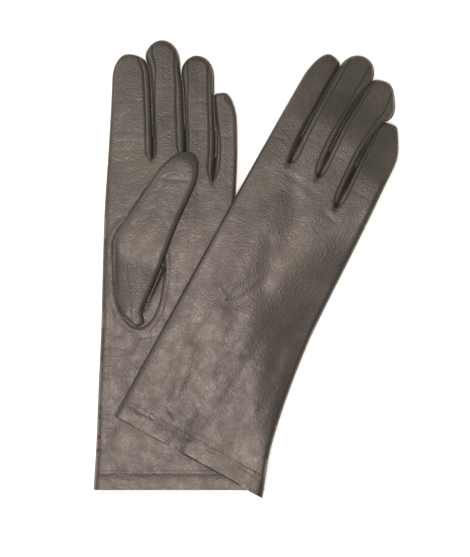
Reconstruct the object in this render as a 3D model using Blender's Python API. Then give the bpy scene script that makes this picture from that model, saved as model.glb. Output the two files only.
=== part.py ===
"""A pair of long leather dress gloves, laid flat: a left glove with its palm up, and a right glove
with its back up, lying over the left one.

World frame: +X to the right, +Y to the fingertips, +Z up from the surface the gloves lie on. The
origin is at the bottom centre of the pair's bounding box.

Both gloves are described in the same glove frame: u runs across from the index-side edge at the hem,
v runs from the hem to the fingertips, and w is the height from the back of the hand to the palm. The
left glove stands as described. The right glove is the same make turned over, so w points down.
"""
import math

import bmesh
import bpy
from mathutils import Vector

# ---------------------------------------------------------------- driving dimensions, in metres

LEATHER = 0.00075  # thickness of the outer leather
FOURCHETTE = 0.0006  # thickness of the thinner leather of the fourchettes and forks
LINING = 0.00035  # thickness of the knitted lining
GAP = 0.0003  # clearance between pieces that touch
LINING_GAP = 0.0004  # clearance between the leather and what lines it
FORK_GAP = 0.0010  # clearance of a fork's edges, since the skins over and under it curve
EDGE_GAP = 0.0009  # between the rolled edges of two layers that meet at a fold or a seam

HAND_HEIGHT = 0.0080  # outer height of the hand and the fingers as they lie
THUMB_HEIGHT = 0.0080  # outer height of the thumb
HEM_DEPTH = 0.014  # how far the cuff's edge is turned in
HEM_FLARE = 0.0152  # widening close to the hem
ARM_FLARE = 0.0135  # even widening from the knuckles to the hem
KNUCKLE_LEVEL = 0.225  # where the widening starts
FLARE_POWER = 5  # how sharply the hem's own widening sets in

FINGER_GAP = 0.0005  # between the sides of neighbouring fingers
STRIP = 0.0022  # how far a fourchette bulges beyond its panel's edge
FORK_SLOPE = 0.019  # how much lower a crotch lies on the back than on the palm
TIP_TAPER = 0.93  # a finger's width at its tip over its width at its flex line

THUMB_ROOT_WIDTH = 0.0290
THUMB_TIP_WIDTH = 0.0180
THUMB_BASE_LENGTH = 0.034  # sewn-in stretch between the bar tack and the thumb's flex line
ROOT_START_WIDTH = 0.3  # share of the thumb root's width at the bar tack
ROOT_START_HEIGHT = 0.25  # share of its height there
PRESSED_ROOT = 0.0011  # height of the upper glove's thumb root, pressed flat between the two gloves

LIFT_SPREAD = 0.035  # run over which the upper glove sinks from the lower glove to the surface
LIFT_MARGIN = 0.006  # how far the upper glove stays level beyond what carries it
REST_GAP = 0.0003  # clearance between the two gloves

LEFT_GLOVE = {
    "name": "left",
    "up": 1,
    "origin": (-0.1038, -0.1484),
    "turn": 0.0,
    "slant": 0.040,  # sideways shift of the index edge for each metre along
    "fingers": {  # width, flex line, tip, sideways lean of the tip
        "index": (0.0283, 0.236, 0.2910, 0.0002),
        "middle": (0.0213, 0.244, 0.3003, -0.0008),
        "ring": (0.0203, 0.240, 0.2897, -0.0010),
        "little": (0.0150, 0.222, 0.2650, -0.0010),
    },
    "crotches": (0.2217, 0.2250, 0.2067),
    "hole": (0.0313, 0.1500, 0.0175, 0.0420),  # thumb hole: centre u, v, half width, half length
    "thumb": (0.0313, 0.1450, 0.0613, 0.2260),  # thumb: flex line's centre u, v and tip u, v
}
RIGHT_GLOVE = {
    "name": "right",
    "up": -1,
    "origin": (-0.0892, -0.0984),
    "turn": -29.06,
    "slant": 0.0,
    "fingers": {
        "index": (0.0178, 0.236, 0.2800, 0.0004),
        "middle": (0.0220, 0.240, 0.2900, 0.0),
        "ring": (0.0197, 0.238, 0.2820, 0.0),
        "little": (0.0200, 0.222, 0.2595, 0.0),
    },
    "crotches": (0.2217, 0.2224, 0.2080),
    "hole": (0.0256, 0.1448, 0.0165, 0.0410),
    "thumb": (0.0270, 0.1460, 0.0570, 0.2240),
}

LEATHER_COLOUR = (0.182, 0.152, 0.127)
LINING_COLOUR = (0.300, 0.270, 0.230)

ARC = (0, 30, 60, 90)  # degrees, the points of a rolled edge
TIP_ARC = (35, 60, 78)  # degrees, the points of a rounded fingertip
HAND_ROWS = 9
HAND_COLUMNS = 6
FORK_ROWS = 3
FORK_COLUMNS = 6
FORK_CURVE = 0.7  # below 1, a fork's arms spread quickly from its bottom
ROOT_ROWS = 5
ROOT_COLUMNS = 8
STRIP_ROWS = 3
STRIP_COLUMNS = 4
HOLE_SIDES = 24

CARRIED = max(HAND_HEIGHT, THUMB_HEIGHT)  # height of what lies below the upper glove
RIDE = CARRIED + REST_GAP + PRESSED_ROOT + GAP  # how high the upper glove lies
PLATE_EXCESS = 0.004  # how far the hand's plates run past the highest flex line before they are cut
LINING_MARGIN = 3 * LEATHER  # between the end of the hand's lining and the lowest crotch
CUTTER_REACH = 0.03  # how far a cutter reaches past what it cuts


# ---------------------------------------------------------------- materials and meshes


def material(name, colour, roughness):
    mat = bpy.data.materials.new(name)
    mat.use_nodes = True
    shader = mat.node_tree.nodes["Principled BSDF"]
    shader.inputs["Base Color"].default_value = (*colour, 1)
    shader.inputs["Roughness"].default_value = roughness
    shader.inputs["Metallic"].default_value = 0
    return mat


def empty(name, parent, location, turn=0.0):
    frame = bpy.data.objects.new(name, None)
    bpy.context.collection.objects.link(frame)
    frame.parent = parent
    frame.location = location
    frame.rotation_euler = (0, 0, math.radians(turn))
    return frame


def add_object(name, bm, parent, mat):
    mesh = bpy.data.meshes.new(name)
    bm.to_mesh(mesh)
    bm.free()
    mesh.materials.append(mat)
    obj = bpy.data.objects.new(name, mesh)
    bpy.context.collection.objects.link(obj)
    obj.parent = parent
    return obj


def thicken(obj, thickness, offset):
    solidify = obj.modifiers.new("Thickness", "SOLIDIFY")
    solidify.thickness = thickness
    solidify.offset = offset
    solidify.use_even_offset = False


def add_cell(bm, a, b, c, d):
    """Two triangles, split the same way in every layer, so that layers over a slope stay parallel."""
    if a.co.x <= b.co.x:
        bm.faces.new((a, b, c))
        bm.faces.new((a, c, d))
    else:
        bm.faces.new((a, b, d))
        bm.faces.new((b, c, d))


def sheet(name, rows, thickness, offset, parent, mat):
    """A thin plate over a grid of points: rows run along the glove, their points across it."""
    bm = bmesh.new()
    grid = [[bm.verts.new(p) for p in row] for row in rows]
    for lower, upper in zip(grid, grid[1:]):
        for k in range(len(lower) - 1):
            add_cell(bm, lower[k], lower[k + 1], upper[k + 1], upper[k])
    obj = add_object(name, bm, parent, mat)
    thicken(obj, thickness, offset)
    return obj


def tube(name, rings, thickness, parent, mat, closed_end=False):
    """A thin-walled tube through closed rings of points, thickened to the inside."""
    bm = bmesh.new()
    grid = [[bm.verts.new(p) for p in ring] for ring in rings]
    for lower, upper in zip(grid, grid[1:]):
        for k in range(len(lower)):
            following = (k + 1) % len(lower)
            add_cell(bm, lower[k], lower[following], upper[following], upper[k])
    if closed_end:
        bm.faces.new(grid[-1])
    bmesh.ops.recalc_face_normals(bm, faces=bm.faces)
    obj = add_object(name, bm, parent, mat)
    thicken(obj, thickness, -1)
    return obj


def prism(name, outline, parent, mat):
    """A tall cutter over a flat outline."""
    bm = bmesh.new()
    low = [bm.verts.new((x, y, -CUTTER_REACH)) for x, y in outline]
    face = bm.faces.new(low)
    top = bmesh.ops.extrude_face_region(bm, geom=[face])["geom"]
    raised = [g for g in top if isinstance(g, bmesh.types.BMVert)]
    bmesh.ops.translate(bm, verts=raised, vec=(0, 0, 2 * CUTTER_REACH))
    bmesh.ops.recalc_face_normals(bm, faces=bm.faces)
    obj = add_object(name, bm, parent, mat)
    obj.hide_render = True
    obj.display_type = "WIRE"
    return obj


def cut(obj, cutter):
    difference = obj.modifiers.new("Cut", "BOOLEAN")
    difference.operation = "DIFFERENCE"
    difference.solver = "EXACT"
    difference.object = cutter


def roll_offset(depth, radius):
    """How far a rolled edge has dropped at a depth inside its outline."""
    inside = min(max(depth, 0.0), radius) / radius
    return radius * (1 - math.sqrt(1 - (1 - inside) ** 2))


def smooth_step(value):
    clamped = min(max(value, 0.0), 1.0)
    return clamped * clamped * (3 - 2 * clamped)


# ---------------------------------------------------------------- the glove frame


class Glove:
    """One glove's layout: its outline, and where its fingers, thumb and crotches lie."""

    def __init__(self, layout):
        self.name = layout["name"]
        self.up = layout["up"]
        self.origin = layout["origin"]
        self.turn = layout["turn"]
        self.slant = layout["slant"]
        self.hole = layout["hole"]
        self.thumb = layout["thumb"]
        self.crotches = layout["crotches"]
        self.fingers = []
        fingers = layout["fingers"]
        left = self.slant * fingers["index"][1]
        self.knuckle_width = sum(f[0] for f in fingers.values()) + FINGER_GAP * (len(fingers) - 1)
        for number, (name, (width, flex, tip, lean)) in enumerate(fingers.items()):
            self.fingers.append(
                {
                    "name": name,
                    "left": left,
                    "right": left + width,
                    "flex": flex,
                    "tip": tip,
                    "lean": lean,
                    "left_fold": number == 0,
                    "right_fold": number == len(fingers) - 1,
                }
            )
            left += width + FINGER_GAP
        self.top = max(f["flex"] for f in self.fingers) + PLATE_EXCESS
        self.lining_start = HEM_DEPTH + GAP
        self.lining_end = min(self.crotches) - FORK_SLOPE - LINING_MARGIN

    def left_edge(self, v):
        return self.slant * v

    def right_edge(self, v):
        short = max(0.0, 1 - v / KNUCKLE_LEVEL)
        flare = ARM_FLARE * short + HEM_FLARE * short**FLARE_POWER
        return self.left_edge(v) + self.knuckle_width + flare

    def to_world(self, u, v):
        angle = math.radians(self.turn)
        x = u * math.cos(angle) - v * math.sin(angle)
        y = u * math.sin(angle) + v * math.cos(angle)
        return self.origin[0] + x, self.origin[1] + y

    def ride_height(self, u, v, lower_glove):
        """How high the upper glove lies at a place: on the lower glove, on its own thumb, or down."""
        if lower_glove is None:
            return 0.0
        x, y = self.to_world(u, v)
        along = y - lower_glove.origin[1]
        edge = lower_glove.origin[0] + lower_glove.right_edge(min(max(along, 0.0), self.top))
        beyond_glove = x - edge
        root_u, root_v, tip_u, tip_v = self.thumb
        axis = Vector((tip_u - root_u, tip_v - root_v))
        place = Vector((u - root_u, v - root_v))
        share = min(max(place.dot(axis) / axis.length_squared, 0.0), 1.0)
        beyond_thumb = (place - axis * share).length - THUMB_ROOT_WIDTH / 2
        below_knuckles = min(self.crotches) - v
        away = min(beyond_glove, beyond_thumb, below_knuckles) - LIFT_MARGIN
        return RIDE * (1 - smooth_step(away / LIFT_SPREAD))

    def place(self, u, v, w, lower_glove):
        """A point of the hand, in the glove's own standing frame."""
        if self.up > 0:
            return Vector((u, v, w))
        return Vector((u, v, HAND_HEIGHT - w + self.ride_height(u, v, lower_glove)))


# ---------------------------------------------------------------- the hand


def hand_levels(glove, start, end):
    """The levels that every layer of the hand shares, so that layers over a slope stay parallel."""
    fixed = [0.0, HEM_DEPTH, glove.lining_start, glove.lining_end, glove.top]
    span = glove.lining_end - glove.lining_start
    fixed += [glove.lining_start + span * k / HAND_ROWS for k in range(1, HAND_ROWS)]
    fixed += [(glove.lining_end + glove.top) / 2]
    return [v for v in sorted(fixed) if start <= v <= end]


def across(left, right, radius, inner=HAND_COLUMNS):
    """Points across a plate with both edges rolled: (u, height on the quarter circle)."""
    points = [(left + radius * (1 - math.cos(math.radians(a))), math.sin(math.radians(a))) for a in ARC]
    mirrored = [(right - (u - left), rise) for u, rise in reversed(points)]
    flat_left, flat_right = points[-1][0], mirrored[0][0]
    middle = [(flat_left + (flat_right - flat_left) * k / (inner + 1), 1.0) for k in range(1, inner + 1)]
    return points + middle + mirrored


def hand_plate(glove, name, side, lower_glove, parent, mat):
    """The palm (side 1) or the back (side -1), from the hem to the highest flex line."""
    radius = (HAND_HEIGHT - EDGE_GAP) / 2
    rows = []
    for v in hand_levels(glove, 0.0, glove.top):
        row = []
        for u, rise in across(glove.left_edge(v), glove.right_edge(v), radius):
            w = HAND_HEIGHT / 2 + side * (EDGE_GAP / 2 + radius * rise)
            row.append(glove.place(u, v, w, lower_glove))
        rows.append(row)
    return sheet(name, rows, LEATHER, -side * glove.up, parent, mat)


def panel_edges(finger):
    """The two long edges of a finger's front and back panels at its flex line."""
    left = finger["left"] + (0 if finger["left_fold"] else STRIP)
    right = finger["right"] - (0 if finger["right_fold"] else STRIP)
    return left, right


def crotch_points(glove, side):
    """Where the slits between the fingers end on the palm (side 1) or on the back (side -1)."""
    drop = 0.0 if side > 0 else FORK_SLOPE
    points = []
    for k, level in enumerate(glove.crotches):
        middle = (glove.fingers[k]["right"] + glove.fingers[k + 1]["left"]) / 2
        points.append((middle, level - drop))
    return points


def comb_cutter(glove, side, parent, mat):
    """Cuts the slits between the fingers, and ends each finger's stub at its flex line."""
    crotches = crotch_points(glove, side)
    outline = [(-CUTTER_REACH, glove.fingers[0]["flex"] - GAP / 2)]
    for k, finger in enumerate(glove.fingers):
        left, right = panel_edges(finger)
        stub_end = finger["flex"] - GAP / 2
        if k > 0:
            outline.append((left, stub_end))
        if k < len(crotches):
            outline.append((right, stub_end))
            outline.append(crotches[k])
    right_far = glove.right_edge(0) + CUTTER_REACH
    outline.append((right_far, glove.fingers[-1]["flex"] - GAP / 2))
    outline.append((right_far, glove.top + CUTTER_REACH))
    outline.append((-CUTTER_REACH, glove.top + CUTTER_REACH))
    label = "palm" if side > 0 else "back"
    return prism(f"{glove.name}_{label}_comb_cutter", outline, parent, mat)


def hole_cutter(glove, label, margin, parent, mat):
    u, v, half_width, half_length = glove.hole
    outline = []
    for k in range(HOLE_SIDES):
        angle = math.tau * k / HOLE_SIDES
        x = u + (half_width + margin) * math.cos(angle)
        y = v + (half_length + margin) * math.sin(angle)
        outline.append((x, y))
    return prism(f"{glove.name}_{label}_hole_cutter", outline, parent, mat)


def hand_ring(glove, v, inset, lower_glove):
    """A closed ring inside the leather at a level, inset from the leather's outer face."""
    half = HAND_HEIGHT / 2 - inset
    left = glove.left_edge(v) + inset
    right = glove.right_edge(v) - inset
    upper = across(left, right, half)
    over = [(u, HAND_HEIGHT / 2 + half * rise) for u, rise in upper]
    under = [(u, HAND_HEIGHT / 2 - half * rise) for u, rise in reversed(upper[1:-1])]
    return [glove.place(u, v, w, lower_glove) for u, w in over + under]


def fork(glove, index, lower_glove, parent, mat):
    """The V where one fourchette turns from one finger to the next: higher on the palm side."""
    lower_finger, upper_finger = glove.fingers[index], glove.fingers[index + 1]
    right = panel_edges(lower_finger)[1] - LEATHER
    left = panel_edges(upper_finger)[0] + LEATHER
    inner = LEATHER + FORK_GAP
    rows = []
    for level in range(FORK_ROWS + 1):
        share = level / FORK_ROWS
        crotch = crotch_points(glove, 1)[index]
        middle, bottom = crotch[0], crotch[1] - FORK_SLOPE * share - LEATHER
        w = HAND_HEIGHT - inner - (HAND_HEIGHT - 2 * inner) * share
        row = []
        for k in range(FORK_COLUMNS + 1):
            way = k / FORK_COLUMNS
            if way < 0.5:
                u, top, pull = right, lower_finger["flex"] - GAP, 1 - way * 2
            else:
                u, top, pull = left, upper_finger["flex"] - GAP, way * 2 - 1
            point = (middle + (u - middle) * pull**FORK_CURVE, bottom + (top - bottom) * pull)
            row.append(glove.place(*point, w, lower_glove))
        rows.append(row)
    name = f"{glove.name}_fork_{lower_finger['name']}_{upper_finger['name']}"
    return sheet(name, rows, FOURCHETTE, 0, parent, mat)


def thumb_root(glove, lower_glove, parent, mat):
    """The sewn-in base of the thumb: an arch over the lower half of the thumb hole."""
    root_u, root_v, tip_u, tip_v = glove.thumb
    axis = Vector((tip_u - root_u, tip_v - root_v)).normalized()
    side = Vector((axis.y, -axis.x))
    rows = []
    for k in range(ROOT_ROWS + 1):
        share = k / ROOT_ROWS
        centre = Vector((root_u, root_v)) - axis * (THUMB_BASE_LENGTH * (1 - share) + GAP)
        widened = math.sin(share * math.pi / 2)
        half = THUMB_ROOT_WIDTH / 2 * (ROOT_START_WIDTH + (1 - ROOT_START_WIDTH) * widened)
        height = THUMB_HEIGHT * (ROOT_START_HEIGHT + (1 - ROOT_START_HEIGHT) * share)
        if glove.up < 0:
            height = PRESSED_ROOT
        row = []
        for j in range(ROOT_COLUMNS + 1):
            angle = math.pi * j / ROOT_COLUMNS
            reach = -math.cos(angle) * half
            rise = math.sin(angle) ** 0.5
            point = centre + side * reach
            w = HAND_HEIGHT + GAP + LEATHER + (height - LEATHER) * rise
            spot = glove.place(point.x, point.y, w, lower_glove)
            if glove.up < 0:
                spot.z = HAND_HEIGHT - w + RIDE
            row.append(spot)
        rows.append(row)
    return sheet(f"{glove.name}_thumb_root", rows, LEATHER, -glove.up, parent, mat)


def hand(glove, lower_glove, parent, leather, lining):
    prefix = glove.name
    palm_comb = comb_cutter(glove, 1, parent, leather)
    back_comb = comb_cutter(glove, -1, parent, leather)
    palm = hand_plate(glove, f"{prefix}_palm", 1, lower_glove, parent, leather)
    cut(palm, palm_comb)
    cut(palm, hole_cutter(glove, "palm", 0.0, parent, leather))
    back = hand_plate(glove, f"{prefix}_back", -1, lower_glove, parent, leather)
    cut(back, back_comb)
    for k in range(len(glove.crotches)):
        fork(glove, k, lower_glove, parent, leather)
    inset = LEATHER + LINING_GAP
    hem = [hand_ring(glove, v, inset, lower_glove) for v in (0.0, HEM_DEPTH)]
    tube(f"{prefix}_cuff_hem", hem, LEATHER, parent, leather)
    levels = hand_levels(glove, glove.lining_start, glove.lining_end)
    body = tube(
        f"{prefix}_hand_lining",
        [hand_ring(glove, v, inset, lower_glove) for v in levels],
        LINING,
        parent,
        lining,
    )
    window = hole_cutter(glove, "lining", GAP, parent, lining)
    level = 0.0 if glove.up > 0 else RIDE
    window.location.z = level + HAND_HEIGHT / 2 + glove.up * CUTTER_REACH
    cut(body, window)
    thumb_root(glove, lower_glove, parent, leather)


# ---------------------------------------------------------------- fingers and thumb


class Digit:
    """A finger or thumb in its own frame: x across, y along from its flex line, z from its axis."""

    def __init__(self, name, root_width, tip_width, length, height, folds, glove, lean=0.0, pitch=0.0):
        self.name = name
        self.root = root_width
        self.tip = tip_width
        self.length = length
        self.height = height
        self.left_fold, self.right_fold = folds
        self.up = glove.up
        self.prefix = glove.name
        self.lean = lean
        self.pitch = pitch

    def half_width(self, y):
        straight = self.length - self.tip / 2
        share = min(max(y / straight, 0.0), 1.0)
        return (self.root + (self.tip - self.root) * share) / 2

    def point(self, x, y, depth):
        """A point at a depth below the surface that carries the hinge axis."""
        return Vector((x + self.lean * y, y, -self.up * depth + self.pitch * y))


def digit_panel(digit, label, near_axis, parent, mat):
    """The front or back panel of a digit: flat between its seams, rolled where it folds."""
    radius = (digit.height - EDGE_GAP) / 2
    tip_half = digit.tip / 2
    left_strip = 0 if digit.left_fold else STRIP
    right_strip = 0 if digit.right_fold else STRIP
    arc = [radius * (1 - math.cos(math.radians(a))) / tip_half for a in ARC]
    columns = [-1 + a for a in arc] if digit.left_fold else [-1, -0.75]
    columns += [-0.3, 0, 0.3]
    columns += [1 - a for a in reversed(arc)] if digit.right_fold else [0.75, 1]
    columns = sorted(set(columns))
    straight = digit.length - tip_half
    levels = [(GAP / 2 + (straight - GAP / 2) * k / 2, 0.0) for k in range(3)]
    levels += [(straight, math.radians(a)) for a in TIP_ARC]
    rows = []
    for y, latitude in levels:
        half = digit.half_width(y)
        left, right = -half + left_strip, half - right_strip
        centre, reach = (left + right) / 2, (right - left) / 2
        row = []
        for c in columns:
            x = centre + c * reach * math.cos(latitude)
            up_tip = tip_half * math.sin(latitude)
            round_out = math.hypot(c * reach * math.cos(latitude), reach * math.sin(latitude))
            depth_in = reach - round_out if latitude else reach * (1 - abs(c))
            folded = digit.left_fold if c < 0 else digit.right_fold
            tip_share = (reach * math.sin(latitude) / max(round_out, 1e-9)) ** 2
            weight = tip_share + (1 - tip_share) * (1.0 if folded else 0.0)
            drop = weight * roll_offset(depth_in, radius)
            depth = drop if near_axis else digit.height - drop
            row.append(digit.point(x, y + up_tip, depth))
        rows.append(row)
    side = 1 if near_axis else -1
    name = f"{digit.prefix}_{digit.name}_{label}"
    return sheet(name, rows, LEATHER, -side * digit.up, parent, mat)


def side_strip(digit, label, side, parent, mat):
    """One fourchette strip along a digit's side (side -1 left, 1 right), bulging outwards."""
    inner = LEATHER + GAP
    straight = digit.length - digit.tip / 2
    rows = []
    for k in range(STRIP_ROWS + 1):
        y = GAP / 2 + (straight - GAP / 2) * k / STRIP_ROWS
        half = digit.half_width(y)
        row = []
        for j in range(STRIP_COLUMNS + 1):
            angle = math.pi * j / STRIP_COLUMNS
            bulge = STRIP * math.sin(angle)
            depth = inner + (digit.height - 2 * inner) * j / STRIP_COLUMNS
            x = side * (half - STRIP - LEATHER / 2 + bulge)
            row.append(digit.point(x, y, depth))
        rows.append(row)
    return sheet(f"{digit.prefix}_{digit.name}_{label}", rows, FOURCHETTE, 0, parent, mat)


def digit_lining(digit, parent, mat):
    """A closed-tip tube inside the leather."""
    inset = LEATHER + LINING_GAP
    tip_half = digit.tip / 2
    left_in = inset if digit.left_fold else STRIP + 2 * LEATHER + GAP
    right_in = inset if digit.right_fold else STRIP + 2 * LEATHER + GAP
    half_height = digit.height / 2 - inset
    straight = digit.length - tip_half
    levels = [(GAP / 2 + (straight - GAP / 2) * k / 2, 0.0) for k in range(3)]
    levels += [(straight, math.radians(a)) for a in (35, 60)]
    rings = []
    for y, latitude in levels:
        half = digit.half_width(y)
        left, right = -half + left_in, half - right_in
        centre, reach = (left + right) / 2, (right - left) / 2
        end_reach = tip_half - inset - GAP
        depth_in = end_reach * (1 - math.sin(latitude))
        tall = half_height - roll_offset(depth_in, half_height) if latitude else half_height
        wide = reach * math.cos(latitude)
        bend = min(tall, wide)
        ring = []
        for side in (1, -1):
            for angle in (-90, -45, 0, 45, 90):
                x = centre + side * (wide - bend + bend * math.cos(math.radians(angle)))
                z = side * tall * math.sin(math.radians(angle))
                ring.append(digit.point(x, y + end_reach * math.sin(latitude), digit.height / 2 - z))
        rings.append(ring)
    name = f"{digit.prefix}_{digit.name}_lining"
    return tube(name, rings, LINING, parent, mat, closed_end=True)


def finger(glove, spec, frame, leather, lining):
    """One finger on its hinge. The axis lies on the palm-side surface, at the flex line."""
    width = spec["right"] - spec["left"]
    middle = (spec["left"] + spec["right"]) / 2
    length = spec["tip"] - spec["flex"]
    lean = spec["lean"] / length
    if glove.up > 0:
        height, pitch = HAND_HEIGHT, 0.0
    else:
        height, pitch = RIDE, -RIDE / length
    axis = empty(f"{glove.name}_{spec['name']}_axis", frame, (middle, spec["flex"], height))
    folds = (spec["left_fold"], spec["right_fold"])
    tip_width = width * TIP_TAPER
    digit = Digit(spec["name"], width, tip_width, length, HAND_HEIGHT, folds, glove, lean, pitch)
    digit_panel(digit, "front", True, axis, leather)
    digit_panel(digit, "back", False, axis, leather)
    if not digit.left_fold:
        side_strip(digit, "fourchette_index_side", -1, axis, leather)
    if not digit.right_fold:
        side_strip(digit, "fourchette_little_side", 1, axis, leather)
    digit_lining(digit, axis, lining)


def thumb(glove, frame, leather, lining):
    """The thumb, folded flat over the palm. Its axis lies on its outer face, at its flex line."""
    root_u, root_v, tip_u, tip_v = glove.thumb
    run = Vector((tip_u - root_u, tip_v - root_v))
    turn = -math.degrees(math.atan2(run.x, run.y))
    height = HAND_HEIGHT + GAP + THUMB_HEIGHT if glove.up > 0 else CARRIED - THUMB_HEIGHT
    axis = empty(f"{glove.name}_thumb_axis", frame, (root_u, root_v, height), turn)
    folds = (True, True)
    digit = Digit("thumb", THUMB_ROOT_WIDTH, THUMB_TIP_WIDTH, run.length, THUMB_HEIGHT, folds, glove)
    digit_panel(digit, "upper", True, axis, leather)
    digit_panel(digit, "under", False, axis, leather)
    digit_lining(digit, axis, lining)


# ---------------------------------------------------------------- the pair


def build_glove(layout, lower_glove, pair, leather, lining):
    glove = Glove(layout)
    frame = empty(f"{glove.name}_glove", pair, (*glove.origin, 0), glove.turn)
    hand(glove, lower_glove, frame, leather, lining)
    for spec in glove.fingers:
        finger(glove, spec, frame, leather, lining)
    thumb(glove, frame, leather, lining)
    return glove


def main():
    for obj in list(bpy.data.objects):
        bpy.data.objects.remove(obj, do_unlink=True)
    leather = material("smooth_nappa_leather", LEATHER_COLOUR, 0.5)
    lining = material("knitted_lining", LINING_COLOUR, 0.9)
    pair = empty("pair_of_gloves", None, (0, 0, 0))
    lower_glove = build_glove(LEFT_GLOVE, None, pair, leather, lining)
    build_glove(RIGHT_GLOVE, lower_glove, pair, leather, lining)


main()
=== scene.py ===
# %% [markdown]
# # A pair of long leather dress gloves
#
# Two women's dress gloves of thin, soft nappa leather lie flat, one across the other: the left one with
# its palm up and its thumb folded over it, and the right one with its back up. This lesson rebuilds their
# looks round a packed working model, which is loaded first as a fixed frame: it says where each glove
# lies, where each finger folds, and which pieces a new surface stands for. It is never moved.

# %% Load the frame
import math

import bmesh
import bpy
import numpy as np
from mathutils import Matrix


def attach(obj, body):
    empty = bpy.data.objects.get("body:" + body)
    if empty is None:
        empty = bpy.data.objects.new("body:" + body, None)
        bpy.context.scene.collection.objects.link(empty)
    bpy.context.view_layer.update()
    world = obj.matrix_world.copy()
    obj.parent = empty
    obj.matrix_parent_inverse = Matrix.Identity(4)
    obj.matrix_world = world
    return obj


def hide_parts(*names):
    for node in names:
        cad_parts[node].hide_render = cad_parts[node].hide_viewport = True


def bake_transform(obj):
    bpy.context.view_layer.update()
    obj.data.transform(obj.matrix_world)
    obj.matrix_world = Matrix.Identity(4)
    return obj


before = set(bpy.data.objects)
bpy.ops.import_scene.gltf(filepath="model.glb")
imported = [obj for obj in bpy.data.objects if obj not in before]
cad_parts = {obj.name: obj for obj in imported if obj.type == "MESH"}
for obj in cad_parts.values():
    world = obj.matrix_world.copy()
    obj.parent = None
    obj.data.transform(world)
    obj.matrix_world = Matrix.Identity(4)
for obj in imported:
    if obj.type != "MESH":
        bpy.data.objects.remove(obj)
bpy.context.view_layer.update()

# %% [markdown]
# ## The glove's own frame
#
# A glove is easiest to describe as its cutter sees it: u runs across from the index finger's side, v runs
# from the hem to the fingertips, and height is measured from the surface below. Everything is in
# millimetres. The same description then serves both gloves, because only one function knows where each
# glove lies in the room and how it is turned.

# %% Places, heights and gaps
MM = 0.001
HEIGHT = 8.0  # of a glove as it lies
HALF = HEIGHT / 2
ROLL = 3.6  # how far from its edge a glove or finger starts to roll down
ROLL_POWER = 2.6
SKIN = 0.7  # thickness of the leather
KNIT = 0.35  # thickness of the lining
LINING_DEPTH = 1.25  # of the lining's outer face below the leather's
UPPER_LEVEL = 9.7  # of the upper glove over the lower one
LIFT_MARGIN, LIFT_SPREAD = 5.0, 52.0  # how the upper glove comes down beyond the lower one
CLOSED_GAP = 0.0  # between neighbouring fingers on the under face
CROTCH_DROP = 19.0  # how much lower a crotch lies on the back of the hand than on the palm
CLEAR = 0.02  # kept between an upper and an under face, so that they never touch
SIDE_SEAM = 2.4  # how far the side seam lies inside the upper glove's edge


def smooth(x):
    """0 before 0, 1 after 1, and an even S between."""
    x = np.clip(x, 0.0, 1.0)
    return x * x * (3 - 2 * x)


def roll(depth, radius=ROLL):
    """The share of full height at a depth inside a rolled edge, pressed flatter than a round tube."""
    x = np.clip(depth / radius, 0.0, 1.0)
    return np.maximum(1 - (1 - x) ** ROLL_POWER, 0.0) ** (1 / ROLL_POWER)


def bump(x, width):
    """A soft ridge of height 1 round x = 0."""
    return np.exp(-((x / width) ** 2))


def curve(*points):
    """A smooth curve through (level, value) points, as a function of the level."""
    x, y = np.array(points, float).T
    slope = np.gradient(y, x)

    def value(at):
        at = np.clip(at, x[0], x[-1])
        k = np.clip(np.searchsorted(x, at) - 1, 0, len(x) - 2)
        run = x[k + 1] - x[k]
        t = (at - x[k]) / run
        rise = y[k + 1] - y[k]
        ease = t * t * (3 - 2 * t)
        return (
            y[k] + rise * ease
            + run * slope[k] * t * (1 - t) ** 2
            - run * slope[k + 1] * t * t * (1 - t)
        )

    return value


# %% [markdown]
# ## Noise for creases and undulation
#
# Soft leather never lies quite flat. Noise gives a repeatable unevenness: a value at each corner of an
# even lattice, eased in between. The corners' values come from whole-number arithmetic, so every run gives
# the same wrinkles. Ridged noise folds the middle value up into a sharp line, as a crease is.


# %% Noise
def lattice(i, j, seed):
    """A value from -1 to 1 for each pair of whole numbers."""
    mixed = (i.astype(np.int64) * 374761393 + j.astype(np.int64) * 668265263 + seed * 974711) & 0xFFFFFFFF
    mixed = ((mixed ^ (mixed >> 13)) * 1274126177) & 0xFFFFFFFF
    return ((mixed ^ (mixed >> 16)) & 0xFFFF) / 32767.5 - 1


def noise(x, y, seed):
    """Smooth unevenness from -1 to 1, with one hill or hollow in about each unit of x and y."""
    i, j = np.floor(x), np.floor(y)
    a, b = smooth(x - i), smooth(y - j)
    near = lattice(i, j, seed) * (1 - a) + lattice(i + 1, j, seed) * a
    far = lattice(i, j + 1, seed) * (1 - a) + lattice(i + 1, j + 1, seed) * a
    return near * (1 - b) + far * b


print("unevenness half way between corners:", noise(np.arange(4) + 0.5, np.zeros(4), 1).round(2))


def creases(x, y, seed, sharp=3.0):
    """Thin lines, 1 on a line and 0 between, where two layers of noise cross zero."""
    field = noise(x, y, seed) + 0.5 * noise(x * 2.1, y * 2.1, seed + 7)
    return np.clip(1 - np.abs(field) * sharp, 0.0, 1.0) ** 2


# %% [markdown]
# ## The pattern of each glove
#
# A glove is cut from one piece that folds along the index side and meets in a seam along the other. Slits
# between the fingers end in crotches, and a narrow strip, the fourchette, is sewn in between each two
# fingers. So each glove is given by its two edges, the line down the middle of each gap, the crotch where
# that gap ends, and the width of strip that shows beside each seam.


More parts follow.
